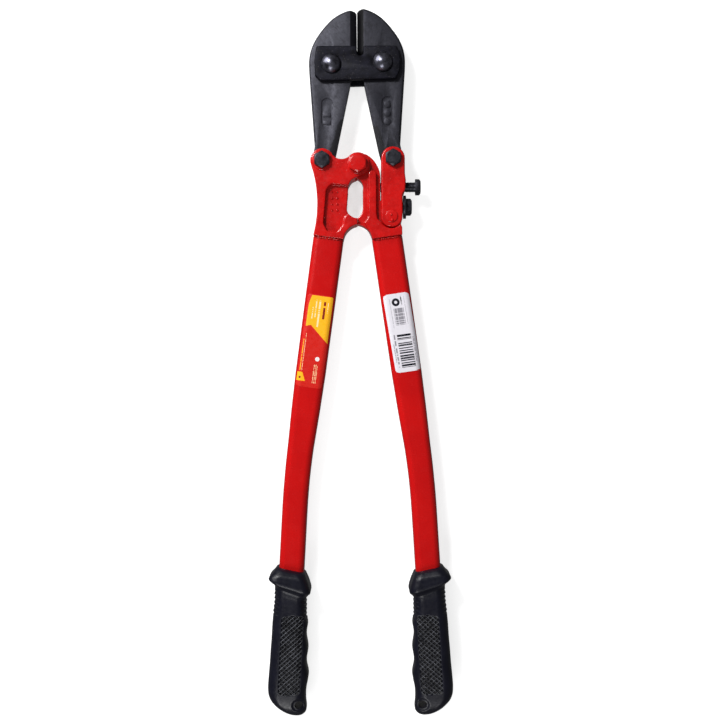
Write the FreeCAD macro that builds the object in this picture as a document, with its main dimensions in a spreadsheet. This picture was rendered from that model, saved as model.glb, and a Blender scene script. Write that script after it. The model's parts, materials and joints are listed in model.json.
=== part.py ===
import FreeCAD, Part
import math
import os
import Sketcher

# Bolt cutters of the 24 inch class, one document object for each separate piece.
#
# The tool lies on its back.  +Y runs toward the jaws, +X toward the adjuster and +Z up through the
# thickness.  The origin is on the axis of the centre pivot, in the plane that the tool rests on.
# Every piece is symmetric about the mid-plane at dims.mid_z unless its own comment says otherwise.

DIMENSIONS = [
    # alias, millimetres, meaning
    ("mid_z", 18, "mid-plane above the rest plane"),
    ("blade_thick", 11, "blade, arm web and tongue"),
    ("plate_in", 5.7, "mid-plane to the inner face of a strap or link plate"),
    ("plate_thick", 5, "strap and link plate"),
    ("plate_out", 10.7, "mid-plane to the outer face of a strap or link plate"),
    ("arm_thick", 21, "arm forging"),
    ("fork_slot", 11.4, "slot between the two cheeks of the left arm"),
    ("fit_play", 0.06, "radial clearance of a bolt in its hole"),
    ("left_head_x", -22.2, "axis of the left blade bolt"),
    ("left_head_y", 85.95, "axis of the left blade bolt"),
    ("right_head_x", 22.0, "axis of the right blade bolt"),
    ("right_head_y", 87.25, "axis of the right blade bolt"),
    ("tail_back", 8.4, "blade tail bolt outboard of the blade bolt"),
    ("tail_drop", 82.55, "blade tail bolt below the blade bolt"),
    ("left_tail_x", -30.6, "axis of the left tail bolt"),
    ("left_tail_y", 3.4, "axis of the left tail bolt"),
    ("right_tail_x", 30.4, "axis of the link bolt"),
    ("right_tail_y", 4.7, "axis of the link bolt"),
    ("rivet_x", 28.7, "axis of the link rivet"),
    ("rivet_y", -44.9, "axis of the link rivet"),
    ("centre_bolt", 10, "centre pivot bolt"),
    ("head_bolt", 10, "blade bolt"),
    ("tail_bolt", 8, "tail bolt, link bolt and link rivet"),
    ("slack_in", 2.6, "oversize of the right tail hole toward the centre"),
    ("slack_out", 3.2, "oversize of the right tail hole away from the centre"),
    ("slack_high", 0.75, "oversize of the right tail hole along the blade"),
    ("tail_lug", 9.8, "radius of a blade tail"),
    ("edge_bevel", 5.6, "width of a ground cutting bevel"),
    ("edge_gap", 0.2, "cutting edge to the parting line"),
    ("edge_land", 0.25, "half thickness of the cutting edge itself"),
    ("grind_top", 49, "upper end of the cutting bevels, above the blade bolt"),
    ("grind_run", 47, "length of the cutting bevels"),
    ("rim_chamfer", 1.6, "forged chamfer round the outside of a blade"),
    ("plate_chamfer", 0.8, "rim of a strap or link plate"),
    ("mark_deep", 0.7, "depth of the marking recess in a blade"),
    ("m10_flats", 16, "M10 nut"),
    ("m8_flats", 13, "M8 nut and head"),
    ("centre_flats", 14.4, "head of the centre pivot bolt"),
    ("centre_head", 6.4, "height of the centre pivot head"),
    ("tail_head", 5.5, "height of an M8 head"),
    ("m8_nut", 6.4, "height of an M8 nut"),
    ("dome_radius", 8.25, "domed head of a blade bolt"),
    ("dome_high", 6.6, "domed head of a blade bolt"),
    ("dome_ball", 9.1, "curvature of the dome"),
    ("adjust_y", -18.8, "axis of the adjusting screw"),
    ("adjust_tip", 19.55, "inner end of the adjusting screw"),
    ("adjust_head", 49.6, "inner face of the adjusting screw's head"),
    ("lock_y", -36.0, "axis of the lock screw"),
    ("lock_face", 39.1, "inner face of the lock washer"),
    ("lock_tip", 25, "inner end of the lock screw"),
    ("washer_thick", 2.4, "lock washer"),
    ("washer_radius", 10, "lock washer"),
    ("tube_axis", -0.3, "plane that mirrors the left tube and grip"),
    ("tube_wall", 2, "handle tube"),
    ("tube_corner", 5.6, "corner radius of the handle tube"),
    ("tube_wide", 26.4, "tube at the arm, side to side"),
    ("tube_flat", 15.6, "tube at the arm, front to back"),
    ("tube_slim", 21.7, "tube at the grip, side to side"),
    ("tube_deep", 18, "tube at the grip, front to back"),
    ("tang_wide", 13.6, "tang of an arm inside its tube"),
    ("film", 0.16, "sticker on a tube"),
    ("grip_thick", 28, "grip, front to back"),
    ("grip_round", 7, "rounding of the grip's edges"),
    ("collar_thick", 36, "grip collar, front to back"),
    ("hang_radius", 3.6, "hanging hole through the grip's end"),
    ("hang_x", -53.4, "axis of the left hanging hole"),
    ("hang_y", -463.5, "axis of the left hanging hole"),
]

doc = FreeCAD.newDocument("bolt_cutters")
sheet = doc.addObject("Spreadsheet::Sheet", "dims")
for row, (alias, size, meaning) in enumerate(DIMENSIONS, start=1):
    sheet.set(f"A{row}", meaning)
    sheet.set(f"B{row}", str(size))
    sheet.setAlias(f"B{row}", alias)
doc.recompute()

pieces = []
SMOOTH = "smooth"      # ends the step of an outline that is an arc tangent to the step before it


def value(text):
    """The number that an expression on the sheet gives."""
    return float(sheet.evalExpression(text))


def keep(item, label):
    """Names a finished piece; its label is the name of its file."""
    item.Label = label
    pieces.append(item)
    return item


def bind(item, **expressions):
    """Binds properties to the sheet; a double underscore stands for a dot in a property's path."""
    for path, text in expressions.items():
        item.setExpression(path.replace("__", "."), text)
    return item


# ---------------------------------------------------------------- sketches and PartDesign features

def new_body(name):
    return doc.addObject("PartDesign::Body", name)


def sketch(body, name, height="dims.mid_z", plane="XY_Plane"):
    """An empty sketch on one of the body's origin planes, lifted by an expression."""
    flat = next(item for item in body.Origin.OriginFeatures if item.Role == plane)
    item = body.newObject("Sketcher::SketchObject", f"{body.Name}_{name}")
    item.AttachmentSupport = [(flat, "")]
    item.MapMode = "FlatFace"
    item.setExpression("AttachmentOffset.Base.z", height)
    return item


def arc_between(start, middle, end):
    """A sketch arc through three points, always given counter-clockwise."""
    turn = (middle - start).cross(end - middle).z
    return Part.Arc(start, middle, end) if turn > 0 else Part.Arc(end, middle, start)


def draw(item, start, steps):
    """A closed outline from start: (x, y) is a line, (via_x, via_y, x, y) an arc, and
    (x, y, SMOOTH) an arc that leaves in the direction of the last line or smooth arc."""
    here = first = FreeCAD.Vector(*start, 0)
    shapes = []
    heading = None
    for step in steps:
        if len(step) == 2:
            there = FreeCAD.Vector(*step, 0)
            shapes.append(Part.LineSegment(here, there))
            heading = (there - here).normalize()
        elif len(step) == 3:
            there = FreeCAD.Vector(step[0], step[1], 0)
            chord = there - here
            along = FreeCAD.Vector(chord).normalize()
            aside = heading - along * heading.dot(along)
            bulge = chord.Length / 2 * math.tan(heading.getAngle(along) / 2)
            middle = here + chord * 0.5 + aside.normalize() * bulge
            shapes.append(arc_between(here, middle, there))
            heading = along * 2 * heading.dot(along) - heading
        else:
            there = FreeCAD.Vector(step[2], step[3], 0)
            shapes.append(arc_between(here, FreeCAD.Vector(step[0], step[1], 0), there))
        here = there
    if here.distanceToPoint(first) > 1e-6:
        shapes.append(Part.LineSegment(here, first))
    item.addGeometry(shapes, False)
    return item


def draw_rounded(item, corners):
    """A closed polygon of (x, y, radius) corners, each rounded by its radius."""
    shapes = []
    joins = []
    count = len(corners)
    for index, (x, y, radius) in enumerate(corners):
        corner = FreeCAD.Vector(x, y, 0)
        before = (FreeCAD.Vector(*corners[index - 1][:2], 0) - corner).normalize()
        after = (FreeCAD.Vector(*corners[(index + 1) % count][:2], 0) - corner).normalize()
        half = before.getAngle(after) / 2
        if radius == 0:
            joins.append((corner, corner))
            continue
        reach = radius / math.tan(half)
        middle = corner + (before + after).normalize() * (radius / math.sin(half) - radius)
        joins.append((corner + before * reach, corner + after * reach))
        shapes.append(arc_between(joins[-1][0], middle, joins[-1][1]))
    for index in range(count):
        leave, arrive = joins[index][1], joins[(index + 1) % count][0]
        if leave.distanceToPoint(arrive) > 1e-6:
            shapes.append(Part.LineSegment(leave, arrive))
    item.addGeometry(shapes, False)
    return item


def draw_circle(item, x, y, radius):
    """A circle whose centre and radius are expressions on the sheet."""
    spot = FreeCAD.Vector(value(x), value(y), 0)
    circle = item.addGeometry(Part.Circle(spot, FreeCAD.Vector(0, 0, 1), value(radius)), False)
    for kind, where, text in (("Radius", (circle,), radius),
                              ("DistanceX", (-1, 1, circle, 3), x),
                              ("DistanceY", (-1, 1, circle, 3), y)):
        number = item.addConstraint(Sketcher.Constraint(kind, *where, value(text)))
        item.setExpression(f"Constraints[{number}]", text)
    return item


def feature(body, kind, profile, length, side="Symmetric", into=False):
    """A Pad or Pocket of a sketch: symmetric about it, or to one side of it."""
    item = body.newObject(f"PartDesign::{kind}", f"{profile.Name}_{kind.lower()}")
    item.Profile = (profile, [""])
    item.SideType = side
    item.Reversed = into
    item.setExpression("Length", length)
    profile.Visibility = False
    return item


def pad(body, profile, length, side="Symmetric"):
    return feature(body, "Pad", profile, length, side)


def pocket(body, profile, length, side="Symmetric", into=False):
    return feature(body, "Pocket", profile, length, side, into)


def dress(body, kind, size_property, size, wanted):
    """A Fillet or Chamfer on the edges of the body's tip that the test picks."""
    doc.recompute()
    base = body.Tip
    names = [f"Edge{number}" for number, edge in enumerate(base.Shape.Edges, start=1) if wanted(edge)]
    item = body.newObject(f"PartDesign::{kind}", f"{body.Name}_{kind.lower()}")
    item.Base = (base, names)
    item.setExpression(size_property, size)
    return item


def polar(centre, radius, degrees):
    """The point on a circle at an angle."""
    turn = math.radians(degrees)
    return (centre[0] + radius * math.cos(turn), centre[1] + radius * math.sin(turn))


def flip(corners, sign):
    """Steps or corners mirrored in X when sign is -1; the Y values and radii stay."""
    if sign > 0:
        return corners
    mirrored = []
    for corner in corners:
        if len(corner) == 3:
            mirrored.append((-corner[0],) + corner[1:])
        else:
            mirrored.append(tuple(-n if place % 2 == 0 else n for place, n in enumerate(corner)))
    return mirrored


# ------------------------------------------------------------------------ Part primitives, fasteners

def primitive(kind, name, **expressions):
    return bind(doc.addObject(f"Part::{kind}", name), **expressions)


def turned_to_x(item):
    """Lays a primitive that was made along Z along +X."""
    item.Placement = FreeCAD.Placement(FreeCAD.Vector(), FreeCAD.Rotation(FreeCAD.Vector(0, 1, 0), 90))
    return item


def combine(kind, name, base, tool):
    item = doc.addObject(f"Part::{kind}", name)
    item.Base = base
    item.Tool = tool
    return item


def fuse(name, *shapes):
    item = doc.addObject("Part::MultiFuse", name)
    item.Shapes = list(shapes)
    return item


def hex_block(name, flats, height, along_x=False, **place):
    """A hexagon, two flats facing sideways, with its top corners turned off in a cone; place binds
    where its lower face stands."""
    stock = primitive("Prism", f"{name}_stock", Circumradius=f"({flats}) / 1.7320508", Height=height)
    stock.Polygon = 6
    stock.Placement.Rotation = FreeCAD.Rotation(FreeCAD.Vector(0, 0, 1), 30)
    cone = primitive("Cone", f"{name}_cone", Radius1=f"({flats}) * 0.44 + ({height}) * 1.5",
                     Radius2=f"({flats}) * 0.44", Height=height)
    block = combine("Common", f"{name}_hex", stock, cone)
    if along_x:
        turned_to_x(block)
    return bind(block, **place)


def rod(name, radius, length, along_x=False, **place):
    item = primitive("Cylinder", name, Radius=radius, Height=length)
    if along_x:
        turned_to_x(item)
    return bind(item, **place)


def hex_bolt(label, x, y, shank, flats, head, under, end):
    """A bolt from above: its head stands on mid_z + under, its shank ends at mid_z - end."""
    top = hex_block(label, flats, head, Placement__Base__x=x, Placement__Base__y=y,
                    Placement__Base__z=f"dims.mid_z + {under}")
    stem = rod(f"{label}_stem", f"{shank} / 2", f"{under} + {end}", Placement__Base__x=x,
               Placement__Base__y=y, Placement__Base__z=f"dims.mid_z - ({end})")
    return keep(fuse(f"{label}_fuse", top, stem), label)


def hex_nut(label, x, y, bore, flats, height, face):
    """A nut from below: its upper face is at mid_z - face, and its chamfer is underneath."""
    block = hex_block(label, flats, height)
    block.Placement.Rotation = FreeCAD.Rotation(FreeCAD.Vector(1, 0, 0), 180)
    bind(block, Placement__Base__x=x, Placement__Base__y=y, Placement__Base__z=f"dims.mid_z - {face}")
    thread = rod(f"{label}_bore", f"{bore} / 2", height, Placement__Base__x=x, Placement__Base__y=y,
                 Placement__Base__z=f"dims.mid_z - {face} - ({height})")
    return keep(combine("Cut", f"{label}_cut", block, thread), label)


# ------------------------------------------------------------------------------------------- blades

def blade(label, side, sign):
    """A blade about its own bolt axis: cutting edge, shank and tail; sign +1 is the left blade."""
    body = new_body(f"{label}_body")
    tail = (-value("dims.tail_back"), -value("dims.tail_drop"))
    lug = value("dims.tail_lug")
    inner = abs(value(f"dims.{side}_head_x")) - value("dims.edge_gap")
    outline = [
        (inner, 3), (inner - 1.8, -7), (16.9, -12.9), (3.7, -75.4),
        polar(tail, lug, -17),
        polar(tail, lug, -120) + polar(tail, lug, 142),
        (-14.7, -69.5), (-18.9, -10.9), (-19.4, 1.1, SMOOTH), (-13.0, 23.5, SMOOTH),
        (-2.1, 37.2, SMOOTH), (15.6, 47.5, SMOOTH), (inner - 1.5, 46.9), (inner, 45.3),
    ]
    start = (inner, 45.3)
    pad(body, draw(sketch(body, "outline"), flip([start], sign)[0], flip(outline, sign)),
        "dims.blade_thick")

    def outer_rim(edge):
        middle = edge.valueAt((edge.FirstParameter + edge.LastParameter) / 2)
        outside = sign * middle.x < -5 or middle.y > 38 and sign * middle.x < 12
        return edge.BoundBox.ZLength < 0.01 and outside and middle.y > -70

    dress(body, "Chamfer", "Size", "dims.rim_chamfer", outer_rim)

    # Both faces are ground down to the cutting edge, above the straps' hidden throat.
    grind = sketch(body, "grind", "-dims.grind_top", "XZ_Plane")
    mid, clear = value("dims.mid_z"), value("dims.blade_thick") / 2 + 0.1
    shoulder, land = inner - value("dims.edge_bevel"), value("dims.edge_land")
    for face in (1, -1):
        draw(grind, (sign * shoulder, mid + face * clear), [
            (sign * (inner + 2), mid + face * clear), (sign * (inner + 2), mid + face * land),
            (sign * inner, mid + face * land)])
    pocket(body, grind, "dims.grind_run", "One side", into=True)

    holes = sketch(body, "holes")
    draw_circle(holes, "0", "0", "dims.head_bolt / 2 + dims.fit_play")
    if side == "left":
        draw_circle(holes, "-dims.tail_back", "-dims.tail_drop", "dims.tail_bolt / 2 + dims.fit_play")
    else:
        radius = value("dims.tail_bolt / 2 + dims.slack_high")
        drop, reach = -value("dims.tail_drop"), value("dims.tail_back")
        low, high = reach - value("dims.slack_in") + 0.6, reach + value("dims.slack_out") - 0.6
        draw(holes, (low, drop - radius), [
            (high, drop - radius), (high + radius, drop, high, drop + radius),
            (low, drop + radius), (low - radius, drop, low, drop - radius)])
    pocket(body, holes, "dims.blade_thick * 2")

    # A recess in the front face leaves plain marks standing: two bars, or three rings.
    recess = sketch(body, "recess", "dims.mid_z + dims.blade_thick / 2")
    x, low, high = sign * -4.0, -49.1, -33.3
    draw(recess, (x - 4.9, low), [(x, low - 4.9, x + 4.9, low), (x + 4.9, high),
                                  (x, high + 4.9, x - 4.9, high)])
    if side == "left":
        for bar in (-51.1, -44.5):
            draw(recess, (x - 3.2, bar), [(x + 3.2, bar), (x + 3.2, bar + 3.2), (x - 3.2, bar + 3.2)])
    else:
        for ring in (-50.3, -42.8, -35.3):
            draw_circle(recess, f"{x}", f"{ring}", "2.6")
    pocket(body, recess, "dims.mark_deep", "One side")
    bind(body, Placement__Base__x=f"dims.{side}_head_x", Placement__Base__y=f"dims.{side}_head_y")
    return keep(body, label)


blade("left_blade", "left", 1)
blade("right_blade", "right", -1)


# --------------------------------------------------------------- straps that carry the two blades

STRAP = [(-34.5, 15.7, 2), (-36.5, 4, 14), (-36.4, -9.6, 3), (-32.3, -14.0, 2.5),
         (33.2, -14.3, 2), (37.2, -6, 8), (37.3, 4, 14), (34.9, 13.6, 2.5)]
NOTCH = [(5.9, 14.5, 1.6), (5.9, 6.3, 2.7), (0.3, 6.3, 2.7), (0.3, 14.65, 1.6)]
REAR_DROP = 1.4        # how much lower the rear strap reaches


def plate_level(front):
    """Height of the sketch of a plate: its inner face, from which it is padded outward."""
    return "dims.mid_z + dims.plate_in" if front else "dims.mid_z - dims.plate_out"


def strap(label, front):
    """A strap about the middle of the line through both blade bolts, tilted with that line.

    The front one is notched above the ends of the cutting bevels, the rear one is a little deeper."""
    body = new_body(f"{label}_body")
    corners = STRAP + NOTCH if front else [(x, y if y > 0 else y - REAR_DROP, radius)
                                           for x, y, radius in STRAP]
    outline = draw_rounded(sketch(body, "outline", plate_level(front)), corners)
    pad(body, outline, "dims.plate_thick", "One side")
    outer = value("dims.mid_z") + (1 if front else -1) * value("dims.plate_out")

    def rim(edge):
        box = edge.BoundBox
        return abs(box.ZMin - outer) < 0.01 and abs(box.ZMax - outer) < 0.01

    dress(body, "Chamfer", "Size", "dims.plate_chamfer", rim)
    holes = sketch(body, "holes")
    for way in (-1, 1):
        draw_circle(holes, f"{way} * hypot(dims.right_head_x - dims.left_head_x;"
                           " dims.right_head_y - dims.left_head_y) / 2", "0",
                    "dims.head_bolt / 2 + dims.fit_play")
    pocket(body, holes, "dims.plate_out * 3")
    rise = value("dims.right_head_y - dims.left_head_y")
    run = value("dims.right_head_x - dims.left_head_x")
    tilt = math.degrees(math.atan2(rise, run))
    body.Placement.Rotation = FreeCAD.Rotation(FreeCAD.Vector(0, 0, 1), tilt)
    bind(body, Placement__Base__x="(dims.right_head_x + dims.left_head_x) / 2",
         Placement__Base__y="(dims.right_head_y + dims.left_head_y) / 2")
    return keep(body, label)


strap("front_strap", True)
strap("rear_strap", False)


def domed_bolt(label, x, y):
    """A blade bolt: a smooth low dome above the front strap, its shank down to the rear nut."""
    ball = primitive("Sphere", f"{label}_ball", Radius="dims.dome_ball",
                     Placement__Base__z="dims.mid_z + dims.plate_out + dims.dome_high - dims.dome_ball")
    rim = rod(f"{label}_rim", "dims.dome_radius", "dims.dome_high + 1",
              Placement__Base__z="dims.mid_z + dims.plate_out")
    dome = combine("Common", f"{label}_dome", rim, ball)
    stem = rod(f"{label}_stem", "dims.head_bolt / 2", "dims.plate_out + dims.mid_z - 0.4",
               Placement__Base__z="0.4")
    whole = bind(fuse(f"{label}_fuse", dome, stem), Placement__Base__x=x, Placement__Base__y=y)
    return keep(whole, label)


for side in ("left", "right"):
    domed_bolt(f"{side}_blade_bolt", f"dims.{side}_head_x", f"dims.{side}_head_y")
    hex_nut(f"{side}_blade_nut", f"dims.{side}_head_x", f"dims.{side}_head_y", "dims.head_bolt",
            "dims.m10_flats", "dims.mid_z - dims.plate_out", "dims.plate_out")


# --------------------------------------------------------------------------------------------- arms

CENTRE = (0, 0)
LEFT_BOSS = 10.2       # radius of the left arm round the tail bolt
CENTRE_BOSS = 10.1     # radius of the left arm round the centre pivot
TONGUE = 10.8          # radius of the right arm's tongue round the centre pivot
SWING = 11.9           # room for the tongue between the left arm's cheeks
TAIL_SWING = 10.9      # room for the left blade's tail between them
SHOULDER = 13.2        # half the width of an arm where it meets its tube
LEFT_TAIL = (value("dims.left_tail_x"), value("dims.left_tail_y"))
RIVET = (value("dims.rivet_x"), value("dims.rivet_y"))
RIVET_BED = value("dims.tail_bolt") / 2 + 6.3      # radius of the hollow that the link's foot lies in
LEAN = 7.95            # degrees that the upper stretch of a tube leans from -Y
TUBE_TOP = (-25.6, -62.7)


def across(distance, along=0.0, sign=1):
    """A point beside the top of a tube's axis: across it, and along it down the tube."""
    lean = math.radians(LEAN)
    x = TUBE_TOP[0] + distance * math.cos(lean) - along * math.sin(lean)
    y = TUBE_TOP[1] - distance * math.sin(lean) - along * math.cos(lean)
    return (x, y) if sign > 0 else (2 * value("dims.tube_axis") - x, y)


def tang(body, sign):
    """The flat tongue of an arm that fills the top of its tube."""
    half = value("dims.tang_wide") / 2
    outline = sketch(body, "tang")
    draw(outline, across(-half, -6, sign), [across(half, -6, sign), across(half, 42, sign),
                                            across(-half, 42, sign)])
    pad(body, outline, "dims.blade_thick")


def left_arm():
    """The forked arm: cheeks hold the left blade's tail and the right arm's tongue."""
    body = new_body("left_arm_body")
    start = polar(LEFT_TAIL, LEFT_BOSS, 204)
    steps = [
        polar(LEFT_TAIL, LEFT_BOSS, 115) + polar(LEFT_TAIL, LEFT_BOSS, 38),
        (-15.6, 4.5) + polar(CENTRE, CENTRE_BOSS, 135),
        polar(CENTRE, CENTRE_BOSS, 20) + polar(CENTRE, CENTRE_BOSS, -78),
        (-5.0, -13.4), (-7.6, -17.4, -8.4, -23.5), (-9.5, -36.5),
        (-8.0, -42.4, -0.55, -46.5), (-0.55, -51.8), (-8.4, -55.9) + across(SHOULDER),
        across(-SHOULDER), (-35.1, -29) + start,
    ]
    pad(body, draw(sketch(body, "outline"), start, steps), "dims.arm_thick")
    slot = draw(sketch(body, "blade_slot"), polar(LEFT_TAIL, TAIL_SWING, 168), [
        polar(LEFT_TAIL, TAIL_SWING, 270) + polar(LEFT_TAIL, TAIL_SWING, 6), (-8, 4.6), (-8, 30),
        (-48, 30), (-48, 14)])
    pocket(body, slot, "dims.fork_slot")
    swing = draw_circle(sketch(body, "tongue_slot"), "0", "0", str(SWING))
    pocket(body, swing, "dims.fork_slot")
    depth = "(dims.arm_thick - dims.blade_thick) / 2"
    for front in (True, False):
        face = "dims.mid_z + dims.arm_thick / 2" if front else "dims.mid_z - dims.arm_thick / 2"
        well = sketch(body, "front_well" if front else "rear_well", face)
        draw_rounded(well, [(-4, -18.2, 0), (-23.4, -17, 4), (-27.2, -22, 6), (-29.9, -50.5, 3.5),
                            (-26.5, -57.6, 3), (-17.5, -58.4, 3), (-12.8, -52.3, 4),
                            (-11.6, -44.5, 5), (-4, -41.5, 0)])
        pocket(body, well, depth, "One side", into=not front)
    holes = sketch(body, "holes")
    draw_circle(holes, "0", "0", "dims.centre_bolt / 2 + dims.fit_play")
    draw_circle(holes, "dims.left_tail_x", "dims.left_tail_y", "dims.tail_bolt / 2 + dims.fit_play")
    pocket(body, holes, "dims.arm_thick * 2")
    tang(body, 1)
    return keep(body, "left_arm")


def right_arm():
    """The arm with the tongue: its thin shelf carries the link, its rib and foot are full height."""
    body = new_body("right_arm_body")
    start = polar(CENTRE, TONGUE, 80)
    web = [
        polar(CENTRE, TONGUE, 180) + polar(CENTRE, TONGUE, 262),
        (0.4, -12.3), (3.5, -15.4, 4.2, -21.5), (4.2, -36.8), (2.9, -42.2, -0.45, -45.9),
        (-0.45, -51.6), (8.0, -55.7) + across(SHOULDER, 0, -1),
        across(-SHOULDER, 0, -1), (37.2, -52.5), (37.2, -31), (19.4, -31), (19.4, -14), (16.9, -0.6, 7.6, 9.0),
    ]
    pad(body, draw(sketch(body, "web"), start, web), "dims.blade_thick")
    rib = draw(sketch(body, "rib"), (9.2, -8.6), [
        (9.2, -41), (8.6, -46.5, 5.2, -50), (9.4, -56.6) + across(SHOULDER - 0.6, 0, -1),
        across(-SHOULDER, 0, -1), (37.9, -54.5), polar(RIVET, RIVET_BED, -40),
        polar(RIVET, RIVET_BED, -90) + polar(RIVET, RIVET_BED, -150), (16.6, -47), (15.9, -43), (15.9, -8.2),
        (12.6, -5.6, 9.2, -8.6)])
    pad(body, rib, "dims.arm_thick")
    holes = sketch(body, "holes")
    draw_circle(holes, "0", "0", "dims.centre_bolt / 2 + dims.fit_play")
    draw_circle(holes, "dims.rivet_x", "dims.rivet_y", "dims.tail_bolt / 2 + dims.fit_play")
    pocket(body, holes, "dims.arm_thick * 2")
    tapped = sketch(body, "lock_thread", "dims.lock_tip - 1", "YZ_Plane")
    draw_circle(tapped, "dims.lock_y", "dims.mid_z", "dims.tail_bolt / 2 + dims.fit_play")
    pocket(body, tapped, "dims.lock_face - dims.lock_tip + 5", "One side", into=True)
    tang(body, -1)
    return keep(body, "right_arm")


left_arm()
right_arm()
hex_bolt("centre_pivot_bolt", "0", "0", "dims.centre_bolt", "dims.centre_flats", "dims.centre_head",
         "dims.arm_thick / 2", "dims.mid_z")
hex_nut("centre_pivot_nut", "0", "0", "dims.centre_bolt", "dims.m10_flats",
        "dims.mid_z - dims.arm_thick / 2", "dims.arm_thick / 2")
hex_bolt("left_tail_bolt", "dims.left_tail_x", "dims.left_tail_y", "dims.tail_bolt", "dims.m8_flats",
         "dims.tail_head", "dims.arm_thick / 2", "dims.mid_z - 1.6")
hex_nut("left_tail_nut", "dims.left_tail_x", "dims.left_tail_y", "dims.tail_bolt", "dims.m8_flats",
        "dims.m8_nut", "dims.arm_thick / 2")


# --------------------------------------------------------------------- adjusting link and its screws

LINK_CROWN = 10.1      # radius round the link bolt
LINK_FOOT = 9.2        # radius round the rivet


def link_plate(label, front):
    """A cheek of the link, from the right blade's tail down to the rivet in the right arm."""
    body = new_body(f"{label}_body")
    tail_x, tail_y = value("dims.right_tail_x"), value("dims.right_tail_y")
    crown = tail_y + LINK_CROWN
    outline = draw_rounded(sketch(body, "outline", plate_level(front)), [
        (tail_x - LINK_CROWN, crown, LINK_CROWN - 0.1), (20.0, -41.5, 14),
        (RIVET[0] - LINK_FOOT, RIVET[1] - LINK_FOOT, LINK_FOOT - 1),
        (RIVET[0] + LINK_FOOT, RIVET[1] - LINK_FOOT, LINK_FOOT - 1),
        (38.4, -40, 6), (38.4, -26.2, 2), (40.6, -22.5, 4), (41.3, -14.5, 4), (40.5, -8, 6),
        (tail_x + LINK_CROWN, crown, LINK_CROWN - 0.1)])
    pad(body, outline, "dims.plate_thick", "One side")
    outer = value("dims.mid_z") + (1 if front else -1) * value("dims.plate_out")

    def rim(edge):
        box = edge.BoundBox
        return abs(box.ZMin - outer) < 0.01 and abs(box.ZMax - outer) < 0.01

    dress(body, "Chamfer", "Size", "dims.plate_chamfer", rim)
    holes = sketch(body, "holes")
    draw_circle(holes, "dims.right_tail_x", "dims.right_tail_y",
                "dims.tail_bolt / 2 + dims.fit_play")
    draw_circle(holes, "dims.rivet_x", "dims.rivet_y", "dims.tail_bolt / 2 + dims.fit_play")
    pocket(body, holes, "dims.plate_out * 3")
    return keep(body, label)


def link_block():
    """The spacer between the cheeks, tapped through for the adjusting screw."""
    body = new_body("link_block_body")
    outline = draw_rounded(sketch(body, "outline"), [(21.2, -27.2, 1.5), (21.2, -10.4, 1.5),
                                                     (39.9, -10.4, 1.5), (39.9, -24.6, 1.5),
                                                     (37.6, -27.2, 1.5)])
    pad(body, outline, "dims.plate_in * 2")
    tapped = sketch(body, "thread", "dims.adjust_tip - 4", "YZ_Plane")
    draw_circle(tapped, "dims.adjust_y", "dims.mid_z", "dims.tail_bolt / 2 + dims.fit_play")
    pocket(body, tapped, "dims.adjust_head - dims.adjust_tip", "One side", into=True)
    return keep(body, "link_block")


def screw_from_side(label, y, tip, under, head, flats):
    """A hexagon screw along X: tip is its inner end, under the inner face of its head."""
    top = hex_block(label, flats, head, along_x=True, Placement__Base__x=under,
                    Placement__Base__y=y, Placement__Base__z="dims.mid_z")
    stem = rod(f"{label}_stem", "dims.tail_bolt / 2", f"{under} - ({tip})", along_x=True,
               Placement__Base__x=tip, Placement__Base__y=y, Placement__Base__z="dims.mid_z")
    return keep(fuse(f"{label}_fuse", top, stem), label)


def lock_washer():
    disc = rod("lock_washer_disc", "dims.washer_radius", "dims.washer_thick", along_x=True,
               Placement__Base__x="dims.lock_face", Placement__Base__y="dims.lock_y",
               Placement__Base__z="dims.mid_z")
    bore = rod("lock_washer_bore", "dims.tail_bolt / 2 + dims.fit_play", "dims.washer_thick",
               along_x=True, Placement__Base__x="dims.lock_face", Placement__Base__y="dims.lock_y",
               Placement__Base__z="dims.mid_z")
    return keep(combine("Cut", "lock_washer_cut", disc, bore), "lock_washer")


def link_rivet():
    """A rivet through both cheeks and the arm's shelf, its ends spread into low heads."""
    parts = [rod("link_rivet_stem", "dims.tail_bolt / 2", "dims.plate_out * 2",
                 Placement__Base__z="dims.mid_z - dims.plate_out")]
    for name, height in (("top", "dims.mid_z + dims.plate_out"),
                         ("bottom", "dims.mid_z - dims.plate_out - 0.9")):
        parts.append(rod(f"link_rivet_{name}", "dims.tail_bolt * 0.66", "0.9",
                         Placement__Base__z=height))
    whole = bind(fuse("link_rivet_fuse", *parts), Placement__Base__x="dims.rivet_x",
                 Placement__Base__y="dims.rivet_y")
    return keep(whole, "link_rivet")


link_plate("front_link_plate", True)
link_plate("rear_link_plate", False)
link_block()
link_rivet()
hex_bolt("link_bolt", "dims.right_tail_x", "dims.right_tail_y", "dims.tail_bolt", "dims.m8_flats",
         "dims.tail_head", "dims.plate_out", "dims.mid_z - 1.4")
hex_nut("link_nut", "dims.right_tail_x", "dims.right_tail_y", "dims.tail_bolt", "dims.m8_flats",
        "dims.m8_nut", "dims.plate_out")
screw_from_side("adjusting_screw", "dims.adjust_y", "dims.adjust_tip", "dims.adjust_head", "4.6",
                "12.2")
screw_from_side("lock_screw", "dims.lock_y", "dims.lock_tip", "dims.lock_face + dims.washer_thick",
                "5", "dims.m8_flats")
lock_washer()


# --------------------------------------------------------------------------------- tubes and grips

LOW_LEAN = 3.3         # degrees that the lower stretch of a tube leans from -Y
BEND_START = 182.0     # along the tube from the arm
BEND_REACH = 28.4      # from the corner of the bend to where its arc ends
RUN_OUT = 92.0         # below the bend, into the grip


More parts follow.
